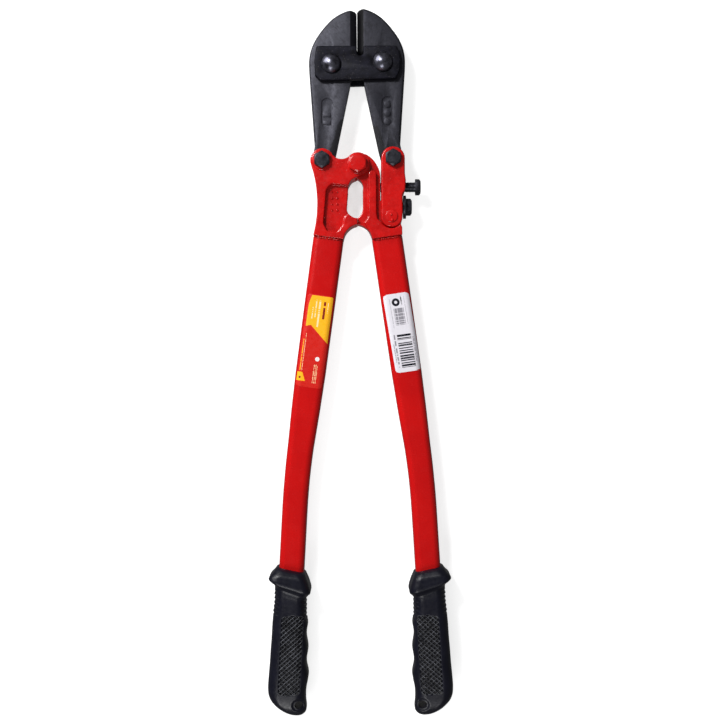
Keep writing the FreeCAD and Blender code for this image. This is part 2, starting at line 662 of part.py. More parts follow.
def tube_stations():
    """Centre, lean, width, depth along a left tube: straight, a wide bend, then straight again."""
    upper, lower = math.radians(LEAN), math.radians(LOW_LEAN)
    wide, slim = value("dims.tube_wide"), value("dims.tube_slim")
    flat, deep = value("dims.tube_flat"), value("dims.tube_deep")
    radius = BEND_REACH / math.tan((upper - lower) / 2)
    stations = []
    for along, share in ((0, 0), (60, 0.02), (118, 0.1), (150, 0.38), (BEND_START, 0.84)):
        stations.append((across(0, along), upper, share))
    start_x, start_y = across(0, BEND_START)
    for part_of_bend in (0.5, 1.0):
        lean = upper + (lower - upper) * part_of_bend
        x = start_x + radius * (math.cos(upper) - math.cos(lean))
        y = start_y - radius * (math.sin(upper) - math.sin(lean))
        stations.append(((x, y), lean, 0.95 + 0.05 * part_of_bend))
    end_x, end_y = stations[-1][0]
    stations.append(((end_x - RUN_OUT * math.sin(lower), end_y - RUN_OUT * math.cos(lower)), lower,
                     1.0))
    return [(centre, lean, wide + (slim - wide) * share, flat + (deep - flat) * share)
            for centre, lean, share in stations]


def loft(name, stations, corner, grow=0.0):
    """A solid through stations, each a rounded rectangle square to its own lean, grown by grow."""
    body = new_body(name)
    sections = []
    for number, (centre, lean, width, depth) in enumerate(stations):
        section = sketch(body, f"section_{number}", None, "XZ_Plane")
        section.AttachmentOffset = FreeCAD.Placement(
            FreeCAD.Vector(centre[0], value("dims.mid_z"), -centre[1]),
            FreeCAD.Rotation(FreeCAD.Vector(0, 1, 0), -math.degrees(lean)))
        x, z, radius = width / 2 + grow, depth / 2 + grow, corner + grow
        draw_rounded(section, [(-x, -z, radius), (x, -z, radius), (x, z, radius), (-x, z, radius)])
        sections.append(section)
    skin = body.newObject("PartDesign::AdditiveLoft", f"{name}_loft")
    skin.Profile = (sections[0], [""])
    skin.Sections = [(section, [""]) for section in sections[1:]]
    skin.Ruled = True
    return body


def tube_loft(name, grow):
    return loft(name, tube_stations(), value("dims.tube_corner"), grow)


def mirrored(name, source):
    """The right-hand twin of a left-hand piece."""
    item = doc.addObject("Part::Mirroring", name)
    item.Source = source
    item.Normal = FreeCAD.Vector(1, 0, 0)
    return bind(item, Base__x="dims.tube_axis")


def grip_form():
    """The moulded grip of the left handle as a solid, before its socket is cut."""
    body = new_body("grip_form")
    handle = draw_rounded(sketch(body, "handle"), [
        (-73.4, -358, 3), (-76.6, -401, 60), (-80.6, -449, 24), (-77.6, -466, 15), (-57, -478, 10),
        (-46.0, -473, 7), (-47.0, -452, 30), (-44.4, -439.5, 12), (-47.9, -428.5, 12),
        (-44.3, -417, 12), (-48.1, -405.5, 12), (-44.4, -394.5, 10), (-47.4, -386, 20),
        (-46.4, -366, 3)])
    pad(body, handle, "dims.grip_thick")

    def rim(edge):
        return edge.BoundBox.ZLength < 0.01

    dress(body, "Fillet", "Radius", "dims.grip_round", rim)
    hang = draw_circle(sketch(body, "hang"), "dims.hang_x", "dims.hang_y", "dims.hang_radius")
    pocket(body, hang, "dims.grip_thick * 2")
    return body


def collar_form():
    """The guard ring at the top of the grip, lower on the side that faces the other handle."""
    wide = value("dims.collar_thick")
    stations = [((-59.8, -348.6), 12.0, 24.8, 22), ((-60.9, -355.9), 14.5, wide, wide - 3),
                ((-61.0, -359.2), 15.7, wide + 1, wide), ((-60.8, -363.6), 17.0, wide - 2, wide - 2),
                ((-60.3, -367.8), 19.5, 28.2, 28)]
    return loft("collar_form", [(centre, math.radians(lean), width, depth)
                                for centre, lean, width, depth in stations], 7.5)


tube_outer = tube_loft("tube_outer", 0.0)
tube_inner = tube_loft("tube_inner", -value("dims.tube_wall"))
grip_solid = fuse("grip_solid", grip_form(), collar_form())
left_tube = keep(combine("Cut", "left_tube_cut", tube_outer, tube_inner), "left_tube")
left_grip = keep(combine("Cut", "left_grip_cut", grip_solid, tube_outer), "left_grip")
keep(mirrored("right_tube_mirror", left_tube), "right_tube")
keep(mirrored("right_grip_mirror", left_grip), "right_grip")


def sticker(label, corners):
    """A thin film on the front of the left tube: the tube's own surface, grown and cut to outline."""
    body = new_body(f"{label}_area")
    area = draw_rounded(sketch(body, "area", "dims.mid_z + 3"), corners)
    pad(body, area, "9", "One side")
    over = combine("Cut", f"{label}_skin", tube_skin, tube_outer)
    return combine("Common", f"{label}_film", body, over)


def beside(corners):
    """Corners given across and along the upper stretch of the left tube, as points."""
    return [across(side, along) + (radius,) for side, along, radius in corners]


tube_skin = tube_loft("tube_skin", value("dims.film"))
keep(sticker("left_label", beside([(-11.2, 50, 2), (11.2, 50, 2), (11.2, 130, 2), (-11.2, 130, 2)])),
     "left_label")
keep(mirrored("right_label_mirror",
              sticker("right_area", beside([(-11.2, 50, 3), (11.2, 50, 3), (11.2, 117, 3),
                                            (-11.2, 117, 3)]))), "right_label")

doc.recompute()

failed = [item.Name for item in doc.Objects if "Invalid" in item.State or "Error" in item.State]
if failed:
    raise RuntimeError(f"these did not compute: {failed}")
os.makedirs("parts", exist_ok=True)
for item in pieces:
    if item.Shape.isNull() or not item.Shape.isValid():
        raise RuntimeError(f"{item.Label} has no valid shape")
for item in pieces:
    item.Shape.exportStep(f"parts/{item.Label}.step")
    box = item.Shape.BoundBox
    print(f"{item.Label:20s} solids {len(item.Shape.Solids)} volume {item.Shape.Volume:10.1f}"
          f"  x {box.XMin:7.1f} {box.XMax:7.1f}  y {box.YMin:7.1f} {box.YMax:7.1f}"
          f"  z {box.ZMin:5.1f} {box.ZMax:5.1f}")
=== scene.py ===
"""Bolt cutters of the 24 inch class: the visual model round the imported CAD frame, in metres."""
import json
import math
import bpy
import bmesh
import numpy as np
from mathutils import Matrix, Vector, noise


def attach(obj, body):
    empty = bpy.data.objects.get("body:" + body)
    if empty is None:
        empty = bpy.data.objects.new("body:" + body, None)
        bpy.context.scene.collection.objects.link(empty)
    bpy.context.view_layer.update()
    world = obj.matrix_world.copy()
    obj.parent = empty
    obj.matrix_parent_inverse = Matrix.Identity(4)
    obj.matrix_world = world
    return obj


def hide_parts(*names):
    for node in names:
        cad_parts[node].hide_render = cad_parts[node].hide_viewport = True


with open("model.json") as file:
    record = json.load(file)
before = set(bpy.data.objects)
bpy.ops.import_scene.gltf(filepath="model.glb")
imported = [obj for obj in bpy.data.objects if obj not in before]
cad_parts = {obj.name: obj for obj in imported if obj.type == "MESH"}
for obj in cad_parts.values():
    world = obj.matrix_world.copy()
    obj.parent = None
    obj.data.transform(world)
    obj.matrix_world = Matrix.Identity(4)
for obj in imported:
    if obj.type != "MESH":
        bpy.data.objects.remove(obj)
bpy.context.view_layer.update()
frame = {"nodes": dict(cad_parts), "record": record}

MM = 0.001
MID_Z = 18 * MM                      # mid-plane of the tool above the floor
MIRROR_X = -0.3 * MM                 # plane that mirrors the left tube and grip


# ------------------------------------------------------------------------------------- node helpers

class Finish:
    """A procedural material: short calls that add nodes in front of one Principled shader."""

    def __init__(self, name, **sockets):
        self.material = bpy.data.materials.new(name)
        self.material.use_nodes = True
        self.tree = self.material.node_tree
        self.shader = self.tree.nodes["Principled BSDF"]
        self.place = self.tree.nodes.new("ShaderNodeTexCoord").outputs["Object"]
        for socket, number in sockets.items():
            self.shader.inputs[socket.replace("_", " ")].default_value = number

    def add(self, kind, settings=None, **inputs):
        """A node; settings are its properties, inputs are sockets by name or position."""
        node = self.tree.nodes.new("ShaderNode" + kind)
        for key, number in (settings or {}).items():
            setattr(node, key, number)
        for key, source in inputs.items():
            socket = node.inputs[int(key[1:])] if key[0] == "i" and key[1:].isdigit() else node.inputs[key]
            self.feed(source, socket)
        return node

    def feed(self, source, socket):
        if isinstance(source, bpy.types.NodeSocket):
            self.tree.links.new(source, socket)
        else:
            socket.default_value = source

    def set(self, socket, source):
        self.feed(source, self.shader.inputs[socket])

    def math(self, operation, first, second=0.0, third=0.0):
        return self.add("Math", {"operation": operation}, i0=first, i1=second, i2=third).outputs[0]

    def stretch(self, scale, turn=(0, 0, 0), source=None):
        """Coordinates in millimetres over scale, turned by degrees first."""
        turned = self.add("Mapping", None, Vector=source or self.place,
                          Rotation=[math.radians(angle) for angle in turn]).outputs[0]
        return self.add("Mapping", None, Vector=turned,
                        Scale=[1 / (size * MM) for size in scale]).outputs[0]

    def cloud(self, size, detail=3.0, rough=0.5, turn=(0, 0, 0)):
        """Noise between 0 and 1 whose lumps are about size millimetres, one number or three."""
        sizes = size if isinstance(size, (tuple, list)) else (size, size, size)
        return self.add("TexNoise", None, Vector=self.stretch(sizes, turn), Scale=1.0, Detail=detail,
                        Roughness=rough).outputs[0]

    def ramp(self, source, low, high, start=0.0, end=1.0):
        """Maps low..high of a source to start..end, clamped."""
        return self.add("MapRange", None, Value=source, i1=low, i2=high, i3=start, i4=end).outputs[0]

    def blend(self, share, first, second):
        """A colour between two, by share."""
        node = self.add("Mix", {"data_type": "RGBA"}, i0=share)
        self.feed(first, node.inputs[6])
        self.feed(second, node.inputs[7])
        return node.outputs[2]

    def bump(self, *layers):
        """Bump layers (height, depth in millimetres), one on another."""
        normal = None
        for height, depth in layers:
            node = self.add("Bump", None, Height=height, Distance=depth * MM, Strength=1.0)
            if normal:
                self.feed(normal, node.inputs["Normal"])
            normal = node.outputs[0]
        self.set("Normal", normal)


def grey(level, blue=0.0):
    return (level, level, level + blue, 1)


# ------------------------------------------------------------------------------------------ finishes

def tube_paint():
    """Smooth gloss enamel over tube: orange peel, slight dust and a few rub marks."""
    paint = Finish("tube_paint", Coat_Weight=0.2, Coat_Roughness=0.05, Specular_IOR_Level=0.22)
    tone = paint.cloud(38, 2)
    paint.set("Base Color", paint.blend(paint.ramp(tone, 0.35, 0.65), (0.42, 0.0025, 0.0030, 1),
                                        (0.48, 0.0035, 0.0035, 1)))
    rubs = paint.cloud((0.5, 16, 0.5), 3, 0.6, (0, 0, -8))
    haze = paint.math("ADD", paint.ramp(rubs, 0.62, 0.75, 0, 0.14),
                      paint.ramp(paint.cloud(7, 4), 0.3, 0.7, 0.2, 0.3))
    paint.set("Roughness", haze)
    paint.bump((paint.cloud(2.6, 1), 0.018), (paint.cloud(0.5, 2), 0.004))
    return paint.material


def forged_paint():
    """The same enamel over a rough forging: lumps, scale pits and thin paint on the high spots."""
    paint = Finish("forged_paint", Coat_Weight=0.35, Coat_Roughness=0.04, Specular_IOR_Level=0.22)
    tone = paint.math("MULTIPLY", paint.cloud(11, 4), paint.ramp(paint.cloud(2.2, 3), 0.3, 0.7, 0.9, 1.1))
    paint.set("Base Color", paint.blend(paint.ramp(tone, 0.3, 0.6), (0.37, 0.0025, 0.0025, 1),
                                        (0.48, 0.0040, 0.0035, 1)))
    paint.set("Roughness", paint.ramp(paint.cloud(3.5, 5), 0.3, 0.7, 0.2, 0.36))
    pits = paint.ramp(paint.cloud(1.5, 2), 0.66, 0.76, 1, 0)
    paint.bump((paint.cloud(4.5, 2), 0.14), (pits, 0.05), (paint.cloud(0.6, 2), 0.012))
    return paint.material


def blade_steel(name, dark, light, brush_turn, brush_share, darker_from):
    """Tempered tool steel: grinding lines in one direction over mottled oxide; the colour turns near
    black inward of and below a given point, leaning with the throat."""
    steel = Finish(name, Metallic=0.6, Specular_IOR_Level=0.4)
    lines = steel.cloud((0.16, 5.0, 5.0), 3, 0.7, (0, 0, brush_turn))
    broad = steel.cloud((0.9, 16, 16), 2, 0.6, (0, 0, brush_turn))
    mottle = steel.cloud(3.2, 5, 0.65)
    grain = steel.cloud(0.35, 3, 0.7)
    share = steel.math("MULTIPLY_ADD", lines, brush_share, steel.math("MULTIPLY", broad, brush_share / 2))
    share = steel.math("MULTIPLY_ADD", mottle, 0.9 - brush_share, share)
    share = steel.math("MULTIPLY_ADD", grain, 0.45, share)
    body = steel.blend(steel.ramp(share, 0.54, 0.84), dark, light)
    where = steel.add("SeparateXYZ", None, Vector=steel.place)
    across, up = where.outputs[0], where.outputs[1]
    x, y, side = darker_from
    inward = steel.math("MULTIPLY", steel.math("SUBTRACT", across, x * MM), side)
    below = steel.math("SUBTRACT", y * MM, up)
    ragged = steel.math("MULTIPLY", steel.math("SUBTRACT", steel.cloud(5, 4, 0.7), 0.5), 6 * MM)
    reach = steel.math("ADD", steel.math("MULTIPLY_ADD", below, 0.34, inward), ragged)
    darker_share = steel.math("MULTIPLY", steel.ramp(reach, 0, 0.8 * MM),
                         steel.ramp(steel.math("ADD", below, ragged), 0, 1.2 * MM))
    steel.set("Base Color", steel.blend(steel.math("MULTIPLY", darker_share, 0.8), body, grey(0.006, 0.001)))
    steel.set("Roughness", steel.ramp(share, 0.5, 0.86, 0.56, 0.40))
    pits = steel.ramp(steel.cloud(0.9, 2), 0.66, 0.74, 1, 0)
    steel.bump((lines, 0.05), (pits, 0.06), (mottle, 0.08))
    return steel.material


def edge_steel(name, level):
    """Freshly ground cutting bevels with fine lines across the edge, painted dark to level: painted shade.
    """
    steel = Finish(name, Metallic=0.6, Specular_IOR_Level=0.15)
    lines = steel.cloud((6, 0.14, 6), 2, 0.6)
    steel.set("Base Color", steel.blend(steel.ramp(lines, 0.3, 0.7), grey(level, level / 3),
                                        grey(2.2 * level, level * 0.7)))
    steel.set("Roughness", steel.ramp(lines, 0.3, 0.7, 0.34, 0.46))
    steel.bump((lines, 0.012))
    return steel.material


def black_oxide(name, base, shine, specks=0.3, metal=0.55, blue=0.25):
    """Blackened steel: blue-black, faint blotches, small bare specks."""
    steel = Finish(name, Metallic=metal, Specular_IOR_Level=0.22)
    blotch = steel.cloud(5, 5, 0.65)
    dots = steel.ramp(steel.cloud(0.8, 3, 0.6), 0.66, 0.72, 0, specks)
    body = steel.blend(steel.ramp(blotch, 0.35, 0.68), grey(base * 0.5, base * 0.5 * blue),
                       grey(base * 1.6, base * 1.6 * blue))
    steel.set("Base Color", steel.blend(dots, body, (0.2, 0.18, 0.18, 1)))
    steel.set("Roughness", steel.ramp(blotch, 0.3, 0.7, shine, shine + 0.16))
    steel.bump((blotch, 0.04), (steel.cloud(0.4, 3), 0.012))
    return steel.material


def grip_vinyl():
    """Moulded soft vinyl: near black, satin, finely grained; painted highlight and shade on the knurling.
    """
    vinyl = Finish("grip_vinyl", Specular_IOR_Level=0.32)
    dust = vinyl.ramp(vinyl.cloud(9, 5, 0.6), 0.42, 0.75)
    body = vinyl.blend(dust, (0.0028, 0.0030, 0.0078, 1), (0.0052, 0.0054, 0.0120, 1))
    where = vinyl.add("SeparateXYZ", None, Vector=vinyl.place)
    along = vinyl.math("MULTIPLY_ADD", where.outputs[1], 1 / MM, -PANEL[1])
    out = vinyl.math("ABSOLUTE", vinyl.math("SUBTRACT", where.outputs[0], MIRROR_X))
    beside = vinyl.math("SUBTRACT", -PANEL[0] + MIRROR_X / MM, vinyl.math("MULTIPLY", out, 1 / MM))
    beside = vinyl.math("MULTIPLY_ADD", along, -PANEL_LEAN, beside)
    skew = vinyl.math("DIVIDE", along, KNURL_HIGH)
    # painted highlight: knurl ridges painted paler, one diagonal twice the other, for the lamps' glints
    ridge_highlight = 0.0
    for turned, ridge_highlight_share in ((1 / KNURL_WIDE, 0.5), (-1 / KNURL_WIDE, 1.0)):
        cell = vinyl.math("FRACT", vinyl.math("MULTIPLY_ADD", beside, turned, skew))
        ridge = vinyl.math("ABSOLUTE", vinyl.math("SUBTRACT", cell, 0.5))
        ridge_highlight = vinyl.math("MAXIMUM", ridge_highlight, vinyl.ramp(ridge, 0.38, 0.48, 0, ridge_highlight_share))
    reach = vinyl.math("SUBTRACT", PANEL[3], vinyl.math("ABSOLUTE", along))
    inside = vinyl.math("MINIMUM", reach, vinyl.math("SUBTRACT", PANEL[2], vinyl.math("ABSOLUTE", beside)))
    panel_ridge_highlight = vinyl.math("MULTIPLY", ridge_highlight, vinyl.ramp(inside, 0.2, 1.2))
    patchy_ridge_highlight = vinyl.math("MULTIPLY", panel_ridge_highlight, vinyl.ramp(vinyl.cloud(5, 3), 0.35, 0.65, 0.2, 1.0))
    # painted shade: the knurled panel between its ridges, in its pits, is painted darker than the grip
    body = vinyl.blend(vinyl.ramp(inside, 0.2, 1.2), body, (0.0014, 0.0014, 0.0030, 1))
    vinyl.set("Base Color", vinyl.blend(patchy_ridge_highlight, body, (0.150, 0.155, 0.180, 1)))
    satin = vinyl.ramp(vinyl.cloud(2.2, 4), 0.3, 0.7, 0.28, 0.42)
    vinyl.set("Roughness", vinyl.math("MULTIPLY_ADD", panel_ridge_highlight, -0.08, satin))
    cells = vinyl.add("TexVoronoi", {"feature": "DISTANCE_TO_EDGE"}, Vector=vinyl.stretch((0.7, 0.7, 0.7)),
                      Scale=1.0).outputs[0]
    vinyl.bump((vinyl.ramp(cells, 0.0, 0.25), 0.02), (vinyl.cloud(5, 2), 0.05))
    return vinyl.material


class Print(Finish):
    """A printed film: ink laid over UV, in millimetres right and down from its upper left corner."""

    def __init__(self, name, width, height, ground, **sockets):
        super().__init__(name, **sockets)
        place = self.tree.nodes.new("ShaderNodeUVMap")
        place.uv_map = "UVMap"
        split = self.add("SeparateXYZ", None, Vector=place.outputs[0])
        self.x = self.math("MULTIPLY", split.outputs[0], width)
        self.y = self.math("MULTIPLY_ADD", split.outputs[1], -height, height)
        self.colour = ground

    def within(self, value, low, high):
        return self.math("MULTIPLY", self.math("GREATER_THAN", value, low),
                         self.math("LESS_THAN", value, high))

    def block(self, x0, y0, x1, y1):
        return self.math("MULTIPLY", self.within(self.x, x0, x1), self.within(self.y, y0, y1))

    def disc(self, x, y, radius):
        dx, dy = self.math("SUBTRACT", self.x, x), self.math("SUBTRACT", self.y, y)
        away = self.math("ADD", self.math("MULTIPLY", dx, dx), self.math("MULTIPLY", dy, dy))
        return self.math("LESS_THAN", away, radius * radius)

    def stripes(self, value, pitch, share):
        """Stripes of uneven width across a value, like a code that says nothing."""
        cell = self.math("FLOOR", self.math("DIVIDE", value, pitch))
        chance = self.add("TexWhiteNoise", {"noise_dimensions": "1D"}, W=cell).outputs[0]
        return self.math("LESS_THAN", chance, share)

    def line(self, x, y0, y1, thick, pitch, share, colour):
        """A broken line down the film, as small print looks from afar."""
        self.ink(self.math("MULTIPLY", self.block(x, y0, x + thick, y1),
                           self.stripes(self.y, pitch, share)), colour)

    def ink(self, mask, colour):
        self.colour = self.blend(mask, self.colour, colour)

    def done(self):
        self.set("Base Color", self.colour)
        self.set("Roughness", self.ramp(self.cloud(3, 4), 0.3, 0.7, 0.22, 0.36))
        self.bump((self.cloud(6, 2), 0.03))
        return self.material


def white_label():
    """Care label in lilac white: a plain round emblem, thin rules, a grey field and a bar field."""
    label = Print("white_label", 22.4, 67.0, (0.66, 0.64, 0.69, 1), Specular_IOR_Level=0.3)
    dark, soft = (0.012, 0.012, 0.018, 1), (0.24, 0.23, 0.26, 1)
    label.ink(label.disc(10.1, 7.4, 3.4), dark)
    label.ink(label.disc(10.1, 7.4, 1.3), (0.66, 0.64, 0.69, 1))
    label.line(14.4, 2.6, 10.2, 0.9, 0.5, 0.8, dark)
    for x, y0, y1 in ((4.9, 4.0, 29.0), (17.4, 3.0, 27.0)):
        label.line(x, y0, y1, 0.28, 0.6, 0.9, soft)
    rows = label.math("MULTIPLY", label.stripes(label.y, 0.45, 0.7), label.stripes(label.x, 0.4, 0.75))
    label.ink(label.math("MULTIPLY", label.block(7.2, 12.6, 15.8, 27.0), rows), soft)
    even = label.math("LESS_THAN", label.math("FRACT", label.math("DIVIDE", label.y, 2.1)), 0.42)
    bars = label.math("MAXIMUM", even, label.stripes(label.y, 0.55, 0.22))
    for y0, y1 in ((35.0, 39.5), (41.0, 63.2)):
        label.ink(label.math("MULTIPLY", label.block(6.2, y0, 18.2, y1), bars), dark)
    label.line(3.4, 34.5, 62.5, 1.2, 1.05, 0.55, soft)
    label.line(2.0, 42.0, 58.0, 0.6, 0.5, 0.75, soft)
    label.line(19.3, 38.0, 59.0, 0.6, 0.6, 0.7, soft)
    label.line(20.3, 37.0, 57.0, 0.4, 0.5, 0.7, soft)
    return label.done()


def tube_decal():
    """Orange-red film: a yellow panel with a bowed side and a tail, lines, a dot and a badge."""
    decal = Print("tube_decal", 22.4, 80.0, (0.55, 0.010, 0.005, 1), Coat_Weight=0.3,
                  Coat_Roughness=0.1)
    yellow, pale, maroon = (0.86, 0.42, 0.010, 1), (0.90, 0.66, 0.36, 1), (0.20, 0.010, 0.006, 1)
    more, less = "GREATER_THAN", "LESS_THAN"
    rise = decal.math("MAXIMUM", decal.math("SUBTRACT", 13.0, decal.y), 0.0)
    bowed = decal.math("MULTIPLY_ADD", decal.math("MULTIPLY", rise, rise), 0.014, 2.0)
    foot = decal.math("MULTIPLY_ADD", decal.x, 0.9, 20.8)
    tail = decal.math("MULTIPLY", decal.math(less, decal.x, 6.2),
                      decal.math(less, decal.y, decal.math("MULTIPLY_ADD", decal.x, -0.33, 28.5)))
    above = decal.math("MULTIPLY", decal.math(less, decal.y, foot), decal.math(more, decal.x, 6.2))
    head = decal.math(less, decal.y, 24.0)
    body = decal.math("MAXIMUM", decal.math("MAXIMUM", above, tail), head)
    side = decal.math(more, decal.x, bowed)
    panel = decal.math("MULTIPLY", decal.math("MULTIPLY", body, side), decal.math(more, decal.y, 0.8))
    decal.ink(panel, yellow)
    decal.line(15.0, 5.5, 20.5, 1.9, 1.5, 0.85, maroon)
    for x, y0, y1, thick in ((18.6, 6, 15, 0.5), (11.0, 4.5, 27.5, 1.5), (8.2, 4.5, 19.5, 1.0),
                             (5.8, 11, 21, 0.9)):
        decal.line(x, y0, y1, thick, 0.8, 0.8, pale)
    decal.line(1.6, 39, 66, 0.7, 0.7, 0.85, yellow)
    decal.line(3.3, 34, 66, 0.4, 0.5, 0.75, pale)
    decal.ink(decal.disc(15.6, 55.0, 1.9), (0.75, 0.70, 0.70, 1))
    for x, y0 in ((13.6, 60), (15.0, 59), (16.2, 61)):
        decal.line(x, y0, 76, 0.45, 0.55, 0.7, pale)
    edge = decal.math(less, decal.x, decal.math("MULTIPLY_ADD", decal.y, 0.42, -24.0))
    decal.ink(decal.math("MULTIPLY", edge, decal.within(decal.y, 67.5, 75.0)), yellow)
    decal.ink(decal.math("MULTIPLY", decal.block(1.6, 69.0, 3.4, 73.6), decal.stripes(decal.y, 0.9, 0.6)),
              maroon)
    return decal.done()


# ----------------------------------------------------------------------------------- mesh utilities

def new_object(name, mesh):
    item = bpy.data.objects.new(name, mesh)
    bpy.context.scene.collection.objects.link(item)
    return item


def baked(item):
    """Replaces an object's mesh with the result of its modifiers, and drops them."""
    graph = bpy.context.evaluated_depsgraph_get()
    graph.update()
    mesh = bpy.data.meshes.new_from_object(item.evaluated_get(graph))
    item.modifiers.clear()
    item.data = mesh
    return item


def smooth_shaded(item, degrees=40):
    item.data.polygons.foreach_set("use_smooth", [True] * len(item.data.polygons))
    item.data.set_sharp_from_angle(angle=math.radians(degrees))
    return item


def owner(node):
    """The body that a CAD node rides on."""
    return next(body for body, nodes in frame["record"]["behaviour"]["bodies"].items() if node in nodes)


def stand_for(item, node, *materials):
    """The finished piece takes the given finishes and the node's body and its place."""
    for material in materials:
        item.data.materials.append(material)
    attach(item, owner(node))
    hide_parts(node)
    return item


def cad_copy(node, ending):
    """A clean copy of a node's mesh: welded, with its flat faces whole again."""
    mesh = frame["nodes"][node].data.copy()
    mesh.materials.clear()
    form = bmesh.new()
    form.from_mesh(mesh)
    bmesh.ops.remove_doubles(form, verts=form.verts, dist=0.002 * MM)
    bmesh.ops.dissolve_limit(form, angle_limit=math.radians(0.6), verts=form.verts, edges=form.edges)
    form.to_mesh(mesh)
    form.free()
    return new_object(f"{node}_{ending}", mesh)


def machined(node, bevel, material):
    """A CAD piece with every sharp edge broken by a small round bevel."""
    item = cad_copy(node, "machined")
    cut = item.modifiers.new("edges", "BEVEL")
    cut.width = bevel * MM
    cut.segments = 3
    cut.limit_method = "ANGLE"
    cut.angle_limit = math.radians(28)
    cut.use_clamp_overlap = True
    cut.harden_normals = False
    smooth_shaded(baked(item), 35)
    return stand_for(item, node, material)


LONG_WAVE, SHORT_WAVE, PROUDEST = 7.0, 2.4, 0.35    # sizes and ceiling of a forging's lumps
KEPT_FACES = 0.35                    # share of the remeshed faces that a forging keeps
SEAT_Y, SEAT_REACH = -49.0, (0.5, 3.0)    # height of the stop faces between the arms, and their extent


def forged(node, voxel, passes, lumps, material, seat=None):
    """A CAD piece as it leaves the hammer: all edges rounded and the skin slightly uneven; seat is
    the x of a machined stop face, which stays flat."""
    item = new_object(f"{node}_forged", frame["nodes"][node].data.copy())
    item.data.materials.clear()
    shell = item.modifiers.new("shell", "REMESH")
    shell.mode = "VOXEL"
    shell.voxel_size = voxel * MM
    soft = item.modifiers.new("soft", "SMOOTH")
    soft.factor = 0.5
    soft.iterations = passes
    baked(item)
    mesh = item.data
    count = len(mesh.vertices)
    places, normals = np.empty(count * 3), np.empty(count * 3)
    mesh.vertices.foreach_get("co", places)
    mesh.vertex_normals.foreach_get("vector", normals)
    places, normals = places.reshape(-1, 3), normals.reshape(-1, 3)
    waves = np.array([noise.noise(Vector(p) / (LONG_WAVE * MM))
                      + 0.5 * noise.noise(Vector(p) / (SHORT_WAVE * MM)) for p in places])
    places += normals * (np.minimum(waves, PROUDEST) - PROUDEST)[:, None] * lumps * MM
    if seat is not None:
        by_x = np.abs(places[:, 0] - seat * MM) < SEAT_REACH[0] * MM
        by_y = np.abs(places[:, 1] - SEAT_Y * MM) < SEAT_REACH[1] * MM
        places[by_x & by_y, 0] = seat * MM
    mesh.vertices.foreach_set("co", places.ravel())
    thin = item.modifiers.new("thin", "DECIMATE")
    thin.ratio = KEPT_FACES
    smooth_shaded(baked(item), 180)
    return stand_for(item, node, material)


def skin(name, rings, close=True):
    """A closed mesh through rings of equal length, with a fan at each end."""
    count = len(rings[0])
    points = [tuple(point) for ring in rings for point in ring]
    faces = []
    for row in range(len(rings) - 1):
        for side in range(count):
            a, b = row * count + side, row * count + (side + 1) % count
            faces.append((a, b, b + count, a + count))
    if close:
        for row, order in ((0, 1), (len(rings) - 1, -1)):
            hub = len(points)
            points.append(tuple(np.mean(rings[row], axis=0)))
            for side in range(count):
                a, b = row * count + side, row * count + (side + 1) % count
                faces.append((b, a, hub) if order > 0 else (a, b, hub))
    mesh = bpy.data.meshes.new(name)
    mesh.from_pydata(points, [], faces)
    form = bmesh.new()
    form.from_mesh(mesh)
    bmesh.ops.recalc_face_normals(form, faces=form.faces)
    form.to_mesh(mesh)
    form.free()
    return new_object(name, mesh)


def flipped(item, name):
    """The right-hand twin of a left-hand piece."""
    mesh = item.data.copy()
    mesh.transform(Matrix.Translation((2 * MIRROR_X, 0, 0)) @ Matrix.Scale(-1, 4, (1, 0, 0)))
    mesh.flip_normals()
    mesh.name = name
    return new_object(name, mesh)


def eased(share):
    """0 to 1 with no slope at either end."""
    share = np.clip(share, 0, 1)
    return share * share * (3 - 2 * share)


# ---------------------------------------------------------------------------------------------- tubes

LEAN, LOW_LEAN = math.radians(7.95), math.radians(3.3)
TUBE_TOP = (-25.6, -62.7)
BEND_START, BEND_REACH = 182.0, 28.4
BEND_RADIUS = BEND_REACH / math.tan((LEAN - LOW_LEAN) / 2)
BEND_LENGTH = BEND_RADIUS * (LEAN - LOW_LEAN)


def tube_axis(along):
    """Centre and lean of the left tube at a distance down its axis, in millimetres."""
    straight = min(along, BEND_START)
    x = TUBE_TOP[0] - straight * math.sin(LEAN)
    y = TUBE_TOP[1] - straight * math.cos(LEAN)
    lean = LEAN
    if along > BEND_START:
        turned = min(along - BEND_START, BEND_LENGTH)
        lean = LEAN - turned / BEND_RADIUS
        x += BEND_RADIUS * (math.cos(LEAN) - math.cos(lean))
        y -= BEND_RADIUS * (math.sin(LEAN) - math.sin(lean))
        rest = max(0.0, along - BEND_START - BEND_LENGTH)
        x -= rest * math.sin(lean)
        y -= rest * math.cos(lean)
    return x, y, lean


def tube_section(along):
    """Width, depth and corner radius: flat at the arm, rounder past the bend."""
    share = float(np.interp(along, (0, 60, 118, 150, 182, 210, 239),
                            (0, 0.02, 0.1, 0.38, 0.84, 0.975, 1)))
    return 26.4 - 4.7 * share, 15.6 + 2.4 * share, 5.6


def rounded_ring(width, depth, corner):
    """Points round a rounded rectangle, side to side in the first number."""
    steps = 10
    points = []
    for quarter, (sx, sz) in enumerate(((1, 1), (-1, 1), (-1, -1), (1, -1))):
        for step in range(steps + 1):
            turn = math.radians(90 * (quarter + step / steps))
            points.append((sx * (width / 2 - corner) + corner * math.cos(turn),
                           sz * (depth / 2 - corner) + corner * math.sin(turn)))
    return points


def across(centre, lean, side, height):
    """A point beside a leaning axis, in metres; side is to the right, height is from the mid-plane."""
    return (centre[0] * MM + side * MM * math.cos(lean), centre[1] * MM - side * MM * math.sin(lean),
            MID_Z + height * MM)


TUBE_NOSE, TUBE_END = 0.8, 330.0     # radius of the tube's rim, and where it ends inside the grip


